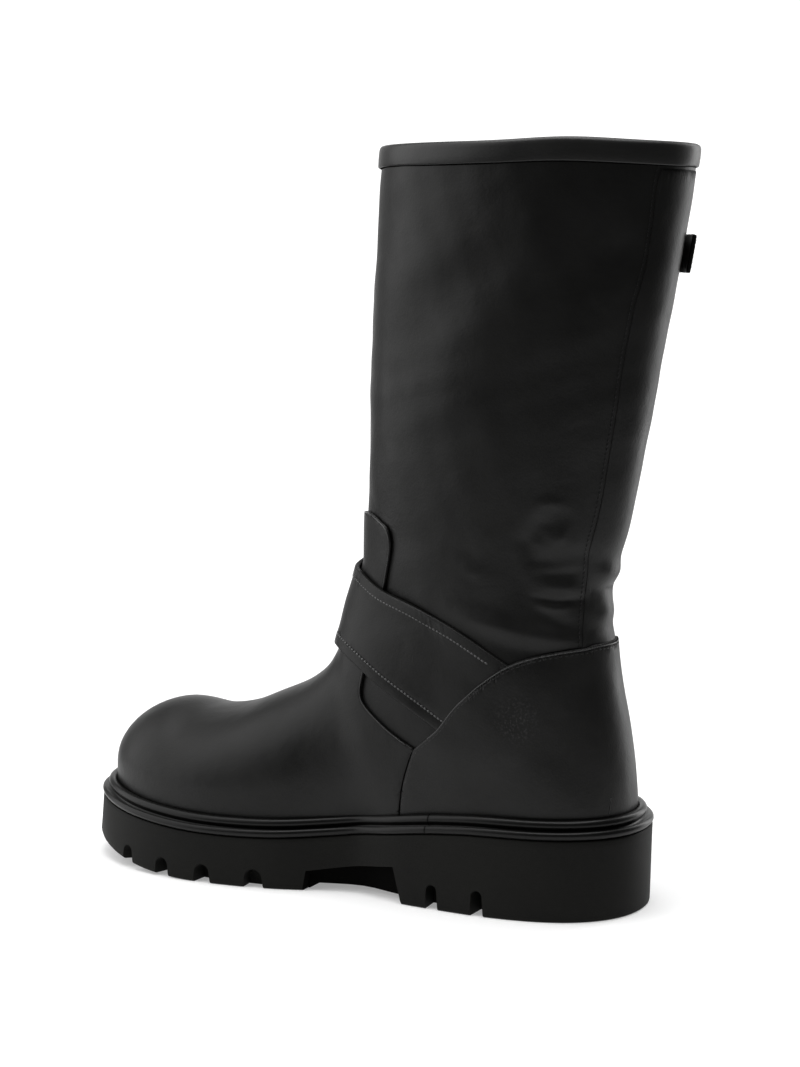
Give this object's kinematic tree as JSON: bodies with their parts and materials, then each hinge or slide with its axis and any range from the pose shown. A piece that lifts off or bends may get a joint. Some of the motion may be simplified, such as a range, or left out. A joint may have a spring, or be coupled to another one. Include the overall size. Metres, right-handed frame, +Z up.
{
  "type": "buckle boot",
  "caption": "Tall black pull-on ankle boot with an instep strap and buckle, a small collar strap, a raised welt and a thick lugged rubber sole.",
  "frame": {"origin": "on the floor, under the middle of the heel seat", "axes": "+X to the toe, +Y to the inner side of the foot, +Z up"},
  "size_m": [0.3185, 0.1154, 0.3575],
  "materials": {
    "leather": "smooth black satin",
    "lining": "dark woven lining",
    "sole": "matte black",
    "welt": "glossy black",
    "metal": "polished, lightly brushed"
  },
  "bodies": {
    "root": {"outsole": "sole", "welt": "welt", "insole": "lining", "upper": "leather", "vamp": "leather", "counter": "leather", "instep_strap": "leather", "buckle_anchor": "leather", "strap_keeper": "leather", "buckle_frame": "metal", "buckle_prong": "metal", "top_strap": "leather", "top_buckle_frame": "metal", "top_buckle_prong": "metal", "collar_binding": "leather"}
  },
  "joints": []
}
